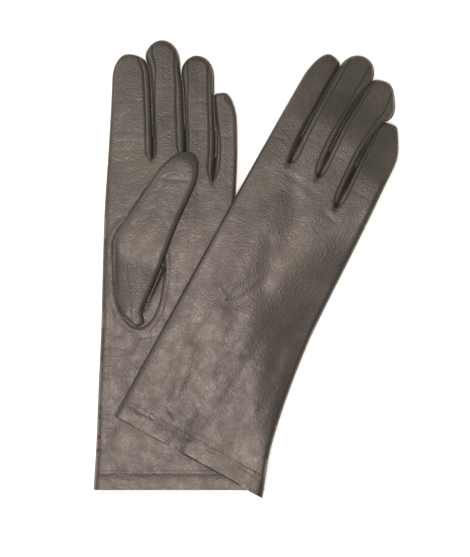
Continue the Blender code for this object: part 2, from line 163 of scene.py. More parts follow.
# %% The two gloves
class Glove:
    """Where one glove lies, and the lines its pieces are cut along."""

    def __init__(
        self, name, origin, turn, palm_up, left, right, gaps, crotches, opening, taper, fingers, thumb
    ):
        self.name = name
        self.origin = origin
        self.cos, self.sin = math.cos(math.radians(turn)), math.sin(math.radians(turn))
        self.palm_up = palm_up
        self.left, self.right = left, right
        self.gaps, self.crotches, self.opening, self.taper = gaps, crotches, opening, taper
        self.fingers = fingers
        self.thumb = thumb
        self.top = max(f["flex"] for f in fingers)

    def world(self, u, v, z):
        """Places of the glove's frame, in metres in the room."""
        x = self.origin[0] + u * self.cos - v * self.sin
        y = self.origin[1] + u * self.sin + v * self.cos
        return np.stack([x, y, z], 1) * MM

    def crotch(self, k, face):
        """Where gap k ends on the upper (1) or under (-1) face. It lies lower on the back of the hand."""
        drop = CROTCH_DROP if self.palm_up else -CROTCH_DROP
        return self.crotches[k] if face > 0 else self.crotches[k] - drop

    def half_gap(self, k, v, face):
        """Half the open width of gap k: nothing at its crotch, then a slit, closed on the under face."""
        width = self.opening[k] if face > 0 else CLOSED_GAP
        return width * smooth((v - self.crotch(k, face)) / 10)


def finger(name, flex, tip, drift, rounding, strips):
    """One finger: the levels of its fold and tip, the tip's sideways drift, how long a stretch rounds off
    on each side, and the width of strip that shows on each side, as a number or a curve."""
    strips = [s if callable(s) else curve((0, s), (1, s)) for s in strips]
    return {"name": name, "flex": flex, "tip": tip, "drift": drift, "rounding": rounding, "strips": strips}


LEFT = Glove(
    "left", (-103.8, -148.4), 0.0, True,
    left=curve(
        (0, 0), (27, 1.7), (67, 3.3), (107, 5.1), (147, 6.1), (187, 7.4), (227, 10), (263, 12), (295, 13.2),
    ),
    right=curve(
        (0, 114.5), (30, 104.5), (60, 100), (100, 97.5), (150, 96), (200, 95.3), (215, 96), (246, 96),
        (270, 95),
    ),
    gaps=[
        curve((150, 38.8), (262, 38.8), (270, 38.4), (279, 37.6), (284, 36.2), (289, 34.0), (301, 33.4)),
        curve((150, 60.6), (255, 60.5), (270, 59.6), (279, 58.3), (301, 57.6)),
        curve((150, 79), (207, 80), (225, 81.4), (240, 81.5), (255, 81.0), (290, 80.6)),
    ],
    crotches=[221.7, 224.0, 206.7],
    opening=[0.45, 0.45, 0.8],
    taper=[6.0, 6.0, 11.0],
    fingers=[
        finger("index", 236, 291.0, 0.0, (16, 6), (0.0, 4.1)),
        finger("middle", 244, 300.3, 0.2, (17, 16.5), (
            curve((222, 2.0), (262, 1.5), (275, 2.8), (288, 5.4), (300, 5.4)),
            curve((225, 4.7), (262, 4.6), (275, 3.6), (300, 2.6)),
        )),
        finger("ring", 240, 290.0, 0.0, (15.5, 15.5), (
            curve((225, 2.1), (262, 2.3), (279, 4.5), (300, 4.5)), 3.3,
        )),
        finger("little", 222, 265.2, -1.0, (3.5, 18), (
            curve((206, 2.3), (235, 2.1), (246, 0.5), (265, 0.4)), 0.0,
        )),
    ],
    thumb={"root": (31.3, 145.0), "tip": (61.3, 226.0)},
)
RIGHT = Glove(
    "right", (-89.2, -98.4), -29.06, False,
    left=curve((0, 0), (261, 0), (290, 0.4)),
    right=curve(
        (0, 112.5), (30, 101.7), (50, 97.2), (80, 92.3), (105, 89.4), (136, 87.5),
        (163, 86.3), (194, 84.6), (225, 82.8), (240, 82.4), (262, 82.2),
    ),
    gaps=[
        curve((150, 20.8), (202.7, 19.9), (225, 18.4), (250, 18.2), (290, 18.2)),
        curve((150, 42.6), (203.4, 41.3), (225, 39.5), (250, 38.8), (265, 40), (278, 42.3), (290, 42.8)),
        curve(
            (150, 63), (192.1, 61.2), (215, 60), (240, 58.9), (250, 59.9), (256, 61.4), (260, 64.2),
            (282, 64.8),
        ),
    ],
    crotches=[203.0, 203.8, 192.4],
    opening=[0.6, 0.75, 0.75],
    taper=[9.0, 9.0, 11.0],
    fingers=[
        finger("index", 236, 280.4, 0.4, (24, 6), (0.0, 1.3)),
        finger("middle", 240, 290.0, 0.0, (15, 17), (
            3.4, curve((203, 3.2), (232, 3.3), (255, 2.5), (272, 5.0), (290, 6.5)),
        )),
        finger("ring", 238, 282.5, -2.0, (8, 27), (
            curve((203, 2.6), (255, 2.8), (275, 2.0)),
            curve((192, 3.0), (225, 3.2), (240, 2.8), (250, 2.8), (256, 3.7), (260, 5.4), (282, 5.6)),
        )),
        finger("little", 222, 259.6, -3.6, (5, 30), (2.8, 0.0)),
    ],
    thumb={"root": (27.0, 146.0), "tip": (57.0, 224.0)},
)
for glove in (LEFT, RIGHT):
    print(glove.name, "fingers from the fold, mm:", [round(f["tip"] - f["flex"]) for f in glove.fingers])

# %% [markdown]
# ## How high the leather lies
#
# The lower glove rests on the table. The upper one rests on the lower one and on its own thumb, and sinks
# to the table beyond them, so its height falls off with the distance from what carries it. Its fingers
# slope down to the table from their folds.


# %% Height of what carries the glove
THUMB_HALF_WIDTH = 14.5
KNUCKLES = 208.0  # from here on, the fingers' own slope takes over
DRAPE = 9.0  # leather rounds off the corners of what it lies over
LIFT_SOFTENING = 7.0  # on each side of a finger's fold


def lift(glove, u, v):
    """How high the glove's underside lies at a place."""
    if glove is LEFT:
        return np.zeros_like(u)
    place = glove.world(u, v, u * 0) / MM
    along = np.clip(place[:, 1] - LEFT.origin[1], 0, LEFT.top)
    beyond_glove = place[:, 0] - LEFT.origin[0] - LEFT.right(along)
    root, tip = (np.array(glove.thumb[end]) for end in ("root", "tip"))
    axis = tip - root
    share = np.clip(((u - root[0]) * axis[0] + (v - root[1]) * axis[1]) / (axis @ axis), 0, 1)
    beyond_thumb = np.hypot(u - root[0] - axis[0] * share, v - root[1] - axis[1] * share) - THUMB_HALF_WIDTH
    below_knuckles = KNUCKLES - v
    reaches = (beyond_glove, beyond_thumb, below_knuckles)
    away = -DRAPE * np.log(sum(np.exp(-x / DRAPE) for x in reaches)) - LIFT_MARGIN
    return UPPER_LEVEL * (1 - smooth(away / LIFT_SPREAD))


def finger_lift(glove, number, v):
    """How high a finger's underside lies: it slopes from its fold to its tip, with a soft start."""
    if glove is LEFT:
        return np.zeros_like(v)
    flex, tip = glove.fingers[number]["flex"], glove.fingers[number]["tip"]
    soft = LIFT_SOFTENING
    past = v - flex
    past = np.where(past < -soft, 0, np.where(past < soft, (past + soft) ** 2 / (4 * soft), past))
    return UPPER_LEVEL * (1 - np.clip(past / (tip - flex), 0, 1))


heights = lift(RIGHT, np.array([20.0, 60.0, 100.0]), np.full(3, 60.0))
print("the upper glove's underside at three places across, mm:", heights.round(1))

# %% [markdown]
# ## Creases, seams and swells
#
# What makes flat leather read as a worn glove is its relief: long soft swells, fine creases that run
# across the wrist and over the joints, puckers below each crotch, and on the upper glove the shape of the
# thumb that lies beneath. Each is a small height added to the plain shape, in the place and direction a
# hand has left it. The seam round the thumb is a closed curve, and its distance gives the groove.


# %% The seam round the thumb
def closed_curve(points, count=96):
    """A smooth closed line through a few points."""
    points = np.array(points, float)
    k = np.arange(count) * len(points) / count
    i, t = np.floor(k).astype(int), (k % 1)[:, None]
    a, b, c, d = (points[(i + step) % len(points)] for step in (-1, 0, 1, 2))
    return 0.5 * (2 * b + (c - a) * t + (2 * a - 5 * b + 4 * c - d) * t**2 + (3 * b - a - 3 * c + d) * t**3)


def distance(outline, u, v):
    """Distance to a closed line, negative inside it."""
    nearest = np.full(u.shape, 1e9)
    inside = np.zeros(u.shape, bool)
    for (ax, ay), (bx, by) in zip(outline, np.roll(outline, -1, axis=0)):
        dx, dy = bx - ax, by - ay
        share = np.clip(((u - ax) * dx + (v - ay) * dy) / (dx * dx + dy * dy), 0, 1)
        nearest = np.minimum(nearest, np.hypot(u - ax - dx * share, v - ay - dy * share))
        crosses = (ay > v) != (by > v)
        inside ^= crosses & (u < ax + dx * (v - ay) / (dy if dy else 1e-9))
    return np.where(inside, -nearest, nearest)


LEFT_HOLE = closed_curve([
    (13.6, 167), (13.2, 152), (13.8, 137), (16.3, 123), (22.3, 112), (30.6, 108), (38.3, 112),
    (43.7, 122), (46.5, 135), (47.4, 149), (45, 165), (36, 180), (22, 178),
])
RIGHT_HOLE = closed_curve([
    (25.6 + 16.5 * math.cos(a), 144.8 + 41 * math.sin(a))
    for a in np.linspace(0, 2 * math.pi, 12, endpoint=False)
])
for name, outline in (("left", LEFT_HOLE), ("right", RIGHT_HOLE)):
    steps = outline - np.roll(outline, 1, axis=0)
    print(name, "thumb seam, mm round:", round(float(np.hypot(steps[:, 0], steps[:, 1]).sum())))


# %% [markdown]
# ## Folds that wearing has left
#
# A worn glove keeps a few folds of its own besides the fine creases: wide, soft ones where the cuff was
# gathered, and narrow ones across the wrist. Each is given by its route, so that it can be moved by hand,
# and has a bell-shaped section, because thin leather never bends to a point.


# %% The folds
def fold(u, v, route, width, rise):
    """A soft ridge, or a hollow where rise is negative, along a line through a few points."""
    nearest = np.full(u.shape, 1e9)
    for (ax, ay), (bx, by) in zip(route, route[1:]):
        dx, dy = bx - ax, by - ay
        share = np.clip(((u - ax) * dx + (v - ay) * dy) / (dx * dx + dy * dy), 0, 1)
        nearest = np.minimum(nearest, np.hypot(u - ax - dx * share, v - ay - dy * share))
    return rise * bump(nearest, width)


LEFT_FOLDS = (  # route, width and rise
    (((34, 100), (25, 84), (26, 70)), 5.0, 0.42),
    (((10, 37), (34, 33), (62, 31)), 1.0, -0.18),
    (((8, 24), (38, 20), (72, 25)), 1.2, -0.24),
    (((10, 104), (30, 101), (48, 104)), 0.9, -0.16),
    (((8, 96), (22, 94)), 0.9, -0.12),
    (((34.2, 121), (40, 134), (45.6, 147)), 1.5, -1.3),  # the palm dips beside the thumb's root
    (((18.5, 170), (27.5, 187), (36, 201)), 1.0, -0.9),  # and is pressed in along the thumb's other edge
)
RIGHT_FOLDS = (
    (((40.5, 73), (50, 56)), 5.0, 0.50),
    (((23, 63), (26, 45), (33, 22)), 5.0, 0.55),
    (((80.5, 95), (87, 71), (90, 52)), 4.5, 0.50),
    (((28, 94), (31, 86)), 8.0, 0.60),
    (((51, 80), (57, 77), (63, 79)), 1.2, -0.12),
    (((26.1, 104), (19, 108.4)), 1.8, 0.20),
    (((26.1, 104), (27.0, 111)), 1.8, 0.20),
    (((34, 150), (40, 138), (47, 122)), 6.0, -0.40),
)
print("folds drawn:", len(LEFT_FOLDS), "and", len(RIGHT_FOLDS))


# %% Relief of the lower glove's palm
def left_relief(u, v):
    """Unevenness of the lower glove's upper face."""
    warp = 3 * noise(u / 18, v / 18, 3)
    height = 0.42 * noise(u / 26, v / 44, 11) + 0.16 * noise(u / 9, v / 16, 12)
    height += 0.05 * noise(u / 1.9, v / 24, 13)  # fine lines along the palm
    wrist = smooth((118 - v) / 30) * (0.45 + 0.55 * smooth((60 - v) / 40))
    height -= 0.40 * wrist * creases((u + warp * 2) / 34, (v + 0.10 * u + warp) / 7.5, 14, 2.4)
    height -= 0.24 * wrist * creases((u + v * 0.5) / 22, (v - 0.35 * u + warp) / 9, 15, 2.6)
    height -= 0.17 * wrist * creases((u + warp) / 15, (v + 0.05 * u + warp) / 3.4, 17, 2.2)
    height -= 0.22 * wrist * bump(v - 22 - 0.03 * u - warp, 1.6) * smooth((u - 8) / 20)
    height += sum(fold(u, v, *each) for each in LEFT_FOLDS)
    palm = smooth((v - 150) / 25) * smooth((225 - v) / 10)
    height -= 0.05 * palm * creases((u + warp) / 20, (v - 0.2 * u) / 12, 16, 3.0)
    for level in (212, 219, 226):  # the index finger folds here most
        height -= 0.07 * bump(v - level - 0.04 * u - warp * 0.3, 1.2) * smooth((34 - u) / 12)
    return height


# %% Relief of the upper glove's back
def right_relief(u, v):
    """Unevenness of the upper glove's upper face, with its thumb showing through."""
    warp = 3 * noise(u / 20, v / 20, 23)
    cuff = smooth((120 - v) / 60)
    height = 0.36 * noise(u / 30, v / 50, 21) + 0.14 * noise(u / 10, v / 20, 22)
    height += cuff * 0.60 * noise((u + 0.05 * v) / 11, v / 90, 24)  # long folds up the arm
    height += cuff * 0.12 * noise((u - 0.08 * v) / 4.2, v / 45, 25)
    left_end = smooth((60 - u) / 40) * smooth((60 - v) / 40)
    height -= 0.16 * left_end * creases((u - 0.6 * v) / 24, (v + 0.6 * u + 0.5 * warp) / 3.6, 26, 2.2)
    height -= 0.10 * cuff * creases((u + warp) / 30, (v + warp) / 12, 27, 2.6)
    away = distance(RIGHT_HOLE, u, v)
    low = smooth((150 - v) / 40)
    height += 0.85 * smooth(-away / 15) - 0.45 * bump(away - 3, 6.0) * smooth((u - 22) / 12)
    height += 0.22 * low * bump(away + 1.2, 2.2)
    height += sum(fold(u, v, *each) for each in RIGHT_FOLDS)
    for level, start, end, deep in ((196, 22, 44, 0.16), (185, 56, 66, 0.12)):  # puckers below the crotches
        span = smooth((u - start + 6) / 9) * smooth((end + 6 - u) / 9)
        height -= deep * span * bump(v - level + 0.12 * (u - start), 2.4)
    return height


def joint_creases(u, v, levels):
    """Faint arcs across a finger where its joints bend."""
    height = np.zeros_like(u)
    for k, (level, middle) in enumerate(levels):
        arc = level - 0.012 * (u - middle) ** 2 + 0.6 * noise(u / 5, v / 9, 40 + k)
        height -= 0.07 * bump(v - arc, 0.9) * smooth((13 - np.abs(u - middle)) / 5)
    return height


LEFT_JOINTS = (  # level and middle of each arc
    (260, 24), (239, 24), (233, 24), (269, 49), (250, 49), (259, 70), (240, 70), (236, 89), (247, 89),
)
RIGHT_JOINTS = ((246, 9), (214, 9), (252, 29), (224, 30), (248, 50), (222, 50), (232, 71), (208, 71))


def footprint(u, v):
    """1 where the upper glove covers the lower one, and 0 in the open."""
    place = LEFT.world(u, v, u * 0) / MM
    across = (place[:, 0] - RIGHT.origin[0]) * RIGHT.cos + (place[:, 1] - RIGHT.origin[1]) * RIGHT.sin
    return smooth(across / 8)


def relief(glove, face, u, v, depth):
    """All unevenness at a place: much on the upper faces, little on the under ones, none at the edges."""
    calm = roll(depth, ROLL * 1.6)
    if face < 0:
        return 0.12 * (noise(u / 14, v / 20, 31) - 1) * calm
    if glove is LEFT:
        height = left_relief(u, v) + joint_creases(u, v, LEFT_JOINTS)
        height = height * (1 - 0.8 * footprint(u, v))
        away = distance(LEFT_HOLE, u, v)
        height += 0.30 * bump(away - 2.2, 1.5) - 0.40 * bump(away, 0.8)
        height -= smooth(-away / 3) * 0.3
    else:
        height = right_relief(u, v) + joint_creases(u, v, RIGHT_JOINTS)
        height -= 0.45 * bump(glove.right(v) - u - SIDE_SEAM, 0.6) * smooth((236 - v) / 10)
    height += 0.24 * bump(v - 11.6, 2.0) - 0.10 * bump(v - 13.6, 0.8) - 0.15 * bump(v - 6, 3.5)
    return height * calm


# %% [markdown]
# ## Surfaces from a flat grid
#
# Leather is a sheet, so each panel starts as Blender's flat grid. A function then says where each point
# of it goes, exactly as a cutter's panel goes to its place on the hand. Working on all the points at once,
# as arrays, keeps even a finely wrinkled sheet quick. Solidify gives the sheet its thickness inwards, so
# the outer face stays where the pattern puts it, and the sheet's rim is marked sharp while the rest is
# shaded smooth.


# %% Panels and pieces
# The distances to the seams darken the leather's colour along each seam: painted shade.
MARKS = ("edge_mm", "hole_mm", "side_mm")  # distances to the seams, for the leather's colour
OTHER_SKIN = 40.0  # how far apart the two gloves lie in the leather's pattern
SAME_PLACE = 0.004  # points this close, in mm, are one
SHARP_RIM = 50  # degrees between faces, from which an edge is shaded sharp
FAR = 50.0


def panel(name, glove, across, along, shape, keep=None, facing=(0, 0, 1)):
    """A sheet of across x along cells that shape(s, t) puts in place as (u, v, height, marks)."""
    bm = bmesh.new()
    bmesh.ops.create_grid(bm, x_segments=across, y_segments=along, size=0.5)
    mesh = bpy.data.meshes.new(name)
    bm.to_mesh(mesh)
    bm.free()
    flat = np.empty(len(mesh.vertices) * 3)
    mesh.vertices.foreach_get("co", flat)
    s, t = flat[0::3] + 0.5, flat[1::3] + 0.5
    u, v, z, marks = shape(s, t)
    mesh.vertices.foreach_set("co", glove.world(u, v, z).astype(np.float32).ravel())
    for mark in MARKS:
        values = np.broadcast_to(np.asarray(marks.get(mark, FAR), np.float32), u.shape)
        layer = mesh.attributes.new(mark, "FLOAT", "POINT")
        layer.data.foreach_set("value", np.ascontiguousarray(values))
    cloth = np.stack([u, v, np.full_like(u, OTHER_SKIN * (glove is RIGHT))], 1).astype(np.float32)
    mesh.attributes.new("cut_mm", "FLOAT_VECTOR", "POINT").data.foreach_set("vector", cloth.ravel())
    bm = bmesh.new()
    bm.from_mesh(mesh)
    if keep is not None:
        corners = np.array([[vert.index for vert in face.verts] for face in bm.faces])
        wanted = keep(s[corners].mean(1), t[corners].mean(1), u[corners].mean(1), v[corners].mean(1))
        faces = [face for face, stays in zip(list(bm.faces), wanted) if not stays]
        bmesh.ops.delete(bm, geom=faces, context="FACES")
    bmesh.ops.remove_doubles(bm, verts=bm.verts, dist=SAME_PLACE * MM)
    bm.normal_update()
    if sum(face.normal.dot(facing) for face in bm.faces) < 0:
        bmesh.ops.reverse_faces(bm, faces=bm.faces)
    bm.to_mesh(mesh)
    bm.free()
    return mesh


def face_outwards(mesh):
    """Turns the faces of a band or tube to point out."""
    bm = bmesh.new()
    bm.from_mesh(mesh)
    bmesh.ops.recalc_face_normals(bm, faces=bm.faces)
    bm.to_mesh(mesh)
    bm.free()


def piece(name, mesh, material, thickness=SKIN):
    """An object of that sheet, with its thickness turned into mesh and its rim sharp."""
    obj = bpy.data.objects.new(name, mesh)
    bpy.context.scene.collection.objects.link(obj)
    mesh.materials.append(material)
    wall = obj.modifiers.new("Wall", "SOLIDIFY")
    wall.thickness, wall.offset = thickness * MM, -1
    graph = bpy.context.evaluated_depsgraph_get()
    made = obj.evaluated_get(graph)
    obj.data = bpy.data.meshes.new_from_object(made, preserve_all_data_layers=True, depsgraph=graph)
    obj.modifiers.clear()
    bpy.data.meshes.remove(mesh)
    obj.data.name = name
    obj.data.shade_smooth()
    obj.data.set_sharp_from_angle(angle=math.radians(SHARP_RIM))
    return obj


# %% [markdown]
# ## Nappa leather
#
# Nappa is full-grain lamb, chrome-tanned and drum-dyed through, then lightly polished. So its colour is
# even and deep, its grain is almost too fine to see, and it shines softly where a swell turns to the
# light, with a faint speckle where the pores catch it. Seams are dark lines, because the two cut edges
# turn down into the joint and hold the shade; that shade is painted into the colour along each seam, and
# the tint along the glove, darker and warmer at the cuffs and greener at the fingers, is painted light.
# The pattern follows the cut piece, through an attribute in millimetres, so it turns with each glove and
# stays with the leather when a finger folds.


# %% Colours and nodes
def colour(code):
    """A colour from its sRGB hex code, as the linear values Blender works in."""
    parts = [int(code[i : i + 2], 16) / 255 for i in (1, 3, 5)]
    return [p / 12.92 if p <= 0.04045 else ((p + 0.055) / 1.055) ** 2.4 for p in parts] + [1.0]


def node(tree, kind, settings=None, **links):
    """Adds a node, sets its values, and links its inputs."""
    made = tree.nodes.new(kind)
    for key, value in (settings or {}).items():
        if hasattr(made, key):
            setattr(made, key, value)
        else:
            made.inputs[int(key) if key.isdigit() else key].default_value = value
    for key, source in links.items():
        target = made.inputs[int(key[1:]) if key[0] == "_" and key[1:].isdigit() else key.replace("_", " ")]
        tree.links.new(source, target)
    return made


def new_material(name):
    made = bpy.data.materials.new(name)
    made.use_nodes = True
    made.node_tree.nodes.clear()
    return made, made.node_tree


def ramp(tree, source, *stops):
    """A colour ramp on a value, through (position, colour) stops."""
    made = node(tree, "ShaderNodeValToRGB", _0=source)
    band = made.color_ramp
    while len(band.elements) < len(stops):
        band.elements.new(0.5)
    for element, (position, tone) in zip(band.elements, stops):
        element.position, element.color = position, tone
    return made.outputs["Color"]


# %% The leather
def nappa():
    """Full-grain lamb, dyed through in a drum: deep even tone, fine grain and a soft shine on each swell."""
    made, tree = new_material("drum_dyed_nappa_leather")
    place = node(tree, "ShaderNodeAttribute", {"attribute_name": "cut_mm"}).outputs["Vector"]
    parts = node(tree, "ShaderNodeSeparateXYZ", Vector=place)

    # Painted shade: along each seam the colour darkens, for the shade that the seam's groove holds.
    seam = node(tree, "ShaderNodeAttribute", {"attribute_name": "edge_mm"}).outputs["Fac"]
    for mark in MARKS[1:]:
        other = node(tree, "ShaderNodeAttribute", {"attribute_name": mark}).outputs["Fac"]
        other = node(tree, "ShaderNodeMath", {"operation": "ABSOLUTE"}, _0=other).outputs[0]
        seam = node(tree, "ShaderNodeMath", {"operation": "MINIMUM"}, _0=seam, _1=other).outputs[0]
    line = node(
        tree, "ShaderNodeMapRange",
        {
            "interpolation_type": "SMOOTHSTEP", "From Min": 0.15, "From Max": 0.95,
            "To Min": 1.0, "To Max": 0.0,
        },
        Value=seam,
    ).outputs["Result"]

    # Dyeing leaves slow drifts of tone, half a hand's breadth across.
    settings = {"Scale": 1 / 38, "Detail": 3.0, "Roughness": 0.55}
    drift = node(tree, "ShaderNodeTexNoise", settings, Vector=place).outputs["Fac"]
    stops = (0.30, colour("#383530")), (0.52, colour("#47433e")), (0.72, colour("#56514b"))
    tone = ramp(tree, drift, *stops)
    # Painted light and shade: along the glove the tone turns a little darker and warmer at the cuffs and
    # greener at the fingers, as the light's warm sheen and shade fall on it.
    settings = {"From Min": 15.0, "From Max": 230.0}
    reach = node(tree, "ShaderNodeMapRange", settings, Value=parts.outputs["Y"]).outputs["Result"]
    painted_light_tint = ramp(tree, reach, (0.0, colour("#dfd9d0")), (0.5, colour("#fbf8f4")), (1.0, colour("#f3f5ea")))
    painted_light_mix = {"data_type": "RGBA", "blend_type": "MULTIPLY", "0": 1.0}
    tone = node(tree, "ShaderNodeMix", painted_light_mix, _6=tone, _7=painted_light_tint).outputs[2]
    # Pores are about 0.3 mm apart, too fine to show, so the speckle is drawn about 1.2 mm wide.
    settings = {"Scale": 1 / 1.2, "Detail": 2.0, "Roughness": 0.6}
    speckle = node(tree, "ShaderNodeTexNoise", settings, Vector=place).outputs["Fac"]
    fleck = ramp(tree, speckle, (0.32, colour("#c9c6c2")), (0.66, colour("#ffffff")))
    flecked = {"data_type": "RGBA", "blend_type": "MULTIPLY", "0": 0.8}
    tone = node(tree, "ShaderNodeMix", flecked, _6=tone, _7=fleck).outputs[2]
    # The painted seam shade turns the tone towards a near-black brown along each seam.
    seam_shade = {"data_type": "RGBA", "7": colour("#262320")}
    tone = node(tree, "ShaderNodeMix", seam_shade, _0=line, _6=tone).outputs[2]

    # Polishing is uneven at about 9 mm, and doesn't reach into the seams.
    settings = {"Scale": 1 / 9, "Detail": 4.0, "Roughness": 0.65}
    polish = node(tree, "ShaderNodeTexNoise", settings, Vector=place).outputs["Fac"]
    settings = {"From Min": 0.3, "From Max": 0.7, "To Min": 0.33, "To Max": 0.50}
    rough = node(tree, "ShaderNodeMapRange", settings, Value=polish).outputs["Result"]
    settings = {"operation": "MULTIPLY_ADD", "1": 0.3}
    rough = node(tree, "ShaderNodeMath", settings, _0=line, _2=rough).outputs[0]

    # Fine wrinkles 2 mm apart run with the length of the glove.
    along = node(tree, "ShaderNodeMapping", {"Scale": (1 / 2.0, 1 / 7.0, 1.0)}, Vector=place)
    settings = {"Scale": 1.0, "Detail": 3.0, "Roughness": 0.6, "Distortion": 0.6}
    lines = node(tree, "ShaderNodeTexNoise", settings, Vector=along.outputs["Vector"]).outputs["Fac"]
    # The grain's own cells are finer than a millimetre, and are drawn 1.3 mm wide so that they show.
    settings = {"feature": "SMOOTH_F1", "Scale": 1 / 1.3, "Smoothness": 0.6}
    grain = node(tree, "ShaderNodeTexVoronoi", settings, Vector=place).outputs["Distance"]
    fine = node(tree, "ShaderNodeBump", {"Strength": 0.7, "Distance": 0.16 * MM}, Height=grain)
    soft = node(
        tree, "ShaderNodeBump", {"Strength": 0.4, "Distance": 0.35 * MM},
        Height=polish, Normal=fine.outputs[0],
    )
    soft = node(
        tree, "ShaderNodeBump", {"Strength": 0.5, "Distance": 0.22 * MM}, Height=lines, Normal=soft.outputs[0]
    ).outputs["Normal"]

    shader = node(
        tree, "ShaderNodeBsdfPrincipled",
        {
            "IOR": 1.5, "Sheen Weight": 0.12, "Sheen Roughness": 0.4, "Sheen Tint": colour("#c8b4a0"),
            "Coat Weight": 0.06, "Coat Roughness": 0.25,
        },
        Base_Color=tone, Roughness=rough, Normal=soft,
    )
    node(tree, "ShaderNodeOutputMaterial", Surface=shader.outputs[0])
    return made


# %% [markdown]
# ## The knitted lining
#
# Inside is a thin, dull knit that keeps the leather off the skin. It shows only at the openings, so rows of
# loops in two close tones, with a little relief, are enough. A weave drawn loop by loop would never be seen.


# %% The lining
def knit():
    """A fine silk-and-nylon knit: rows of loops 0.5 mm apart, drawn 1 mm apart so that they show."""
    made, tree = new_material("warp_knitted_lining")
    place = node(tree, "ShaderNodeAttribute", {"attribute_name": "cut_mm"}).outputs["Vector"]
    settings = {"wave_type": "BANDS", "bands_direction": "X", "Scale": 0.31, "Distortion": 0.6, "Detail": 1.0}
    rows = node(tree, "ShaderNodeTexWave", settings, Vector=place).outputs["Fac"]
    tone = ramp(tree, rows, (0.2, colour("#8d8378")), (0.8, colour("#a89d90")))
    raised = node(tree, "ShaderNodeBump", {"Strength": 0.5, "Distance": 0.15 * MM}, Height=rows).outputs[0]
    matt = {"Roughness": 0.85, "Sheen Weight": 0.3}
    shader = node(tree, "ShaderNodeBsdfPrincipled", matt, Base_Color=tone, Normal=raised)
    node(tree, "ShaderNodeOutputMaterial", Surface=shader.outputs[0])
    return made


LEATHER, LINING = nappa(), knit()
print("finishes:", LEATHER.name, "and", LINING.name)

# %% [markdown]
# ## The outline of a thumb
#
# The palm has to be cut away where the thumb is sewn in, so the thumb's outline comes before the palm. A
# thumb is described along its own line: a runs from its fold to its tip, c across. Two smooth curves give
# its edges from the bottom of the seam upwards, and the tip is closed by a superellipse.


# %% Shape of a thumb
THUMB_LEFT = curve(
    (-34.8, 10.3), (-34.0, 7.4), (-31, -0.2), (-25.8, -6.4), (-13.6, -13.6), (4.1, -20.7), (14.6, -23.6),
    (29.4, -21.5), (42.2, -18.5), (55.2, -15.3), (68.1, -12.0), (90, -7.2),
)
THUMB_RIGHT = curve(
    (-34.8, 10.5), (-33.8, 12.2), (-23.7, 11.0), (-6.3, 11.6), (10, 12.2), (39.8, 12.5), (57.1, 13.9),
    (73.1, 14.7), (90, 15.0),
)


TIP_POWER = 2.1  # of the superellipse that rounds a tip: 2 would be a plain ellipse
THUMB_ROUNDING = 21.0  # the last stretch, over which the thumb rounds off
SEWN_FROM = -34.0  # the bottom of the thumb's seam, along it
HOLE_MARGIN = 2.5  # how far the palm runs on under the thumb's root


class Thumb:
    """The frame and outline of one thumb."""

    def __init__(self, glove):
        root, tip = np.array(glove.thumb["root"]), np.array(glove.thumb["tip"])
        self.glove, self.root = glove, root
        self.length = float(np.hypot(*(tip - root)))
        self.axis = (tip - root) / self.length

    def place(self, a, c):
        """The glove's u and v for a place along and across the thumb."""
        (x, y), (root_u, root_v) = self.axis, self.root
        return root_u + a * x + c * y, root_v + a * y - c * x

    def outline(self, start, end):
        """The closed line round a stretch of the thumb."""
        a = np.linspace(start, end, 24)
        there = np.stack(self.place(a, THUMB_LEFT(a)), 1)
        back = np.stack(self.place(a[::-1], THUMB_RIGHT(a[::-1])), 1)
        return np.concatenate([there, back])

    def across(self, a, share):
        """Place across the thumb for share -1 to 1, and the depth inside its outline."""
        left, right = THUMB_LEFT(a), THUMB_RIGHT(a)
        centre, half = (left + right) / 2, (right - left) / 2
        past = np.clip((a - self.length + THUMB_ROUNDING) / THUMB_ROUNDING, 0, 1)
        x = share * (1 - past**TIP_POWER) ** (1 / TIP_POWER)
        reach = np.where(past > 0, (np.abs(x) ** TIP_POWER + past**TIP_POWER) ** (1 / TIP_POWER), np.abs(x))
        return centre + x * half, (1 - reach) * half


print("thumbs from the fold, mm:", [round(Thumb(glove).length) for glove in (LEFT, RIGHT)])


# %% [markdown]
# ## The palm and the back of the hand
#
# The palm and the back each reach from the hem to the folds of the fingers, in one piece with slits. One
# grid does it: four bands of columns, one for each finger, that share their borders below the crotch and
# part above it, where the strips of the fourchettes go in. The cells between two bands have no width below
# the crotch and close up when doubles are merged; above it they are left out.


# %% Shape of a hand panel
UNDER_STRIP = 2.0  # width of the strips on the under face
FOLD_MARGIN = 8.0  # how far below its fold a finger's own slope starts


def finger_sides(glove, number, v, face):
    """The outline of a finger, or of the hand below it, at each level."""
    last = len(glove.fingers) - 1
    left = glove.left(v) if number == 0 else glove.gaps[number - 1](v) + glove.half_gap(number - 1, v, face)
    right = glove.right(v) if number == last else glove.gaps[number](v) - glove.half_gap(number, v, face)
    return left, right


def strip_widths(glove, number, v, face):
    """How much of the fourchettes shows on each side of a finger."""
    last = len(glove.fingers) - 1
    wide = [s(v) if face > 0 else UNDER_STRIP for s in glove.fingers[number]["strips"]]
    left, right = 0 * v, 0 * v
    if number > 0:
        left = wide[0] * roll(v - glove.crotch(number - 1, face), glove.taper[number - 1])
    if number < last:
        right = wide[1] * roll(v - glove.crotch(number, face), glove.taper[number])
    return left, right


def depth_inside(glove, face, u, v):
    """How deep a place of the hand lies inside its outline, with a dimple below each crotch."""
    depth = np.minimum(u - glove.left(v), glove.right(v) - u)
    for k in range(len(glove.gaps)):
        below = 0.6 * np.maximum(glove.crotch(k, face) - v, 0)
        depth = np.minimum(depth, np.hypot(u - glove.gaps[k](v), below) - glove.half_gap(k, v, face))
    return np.maximum(depth, 0)


def face_height(glove, face, u, v, depth, level):
    """The height of the leather's outer face."""
    return level + HALF + face * (HALF - CLEAR) * roll(depth) + face * relief(glove, face, u, v, depth)


def seam_groove(edge):
    """How deep a seam pulls the leather in, at a distance from it."""
    return -0.38 * bump(edge, 0.7)


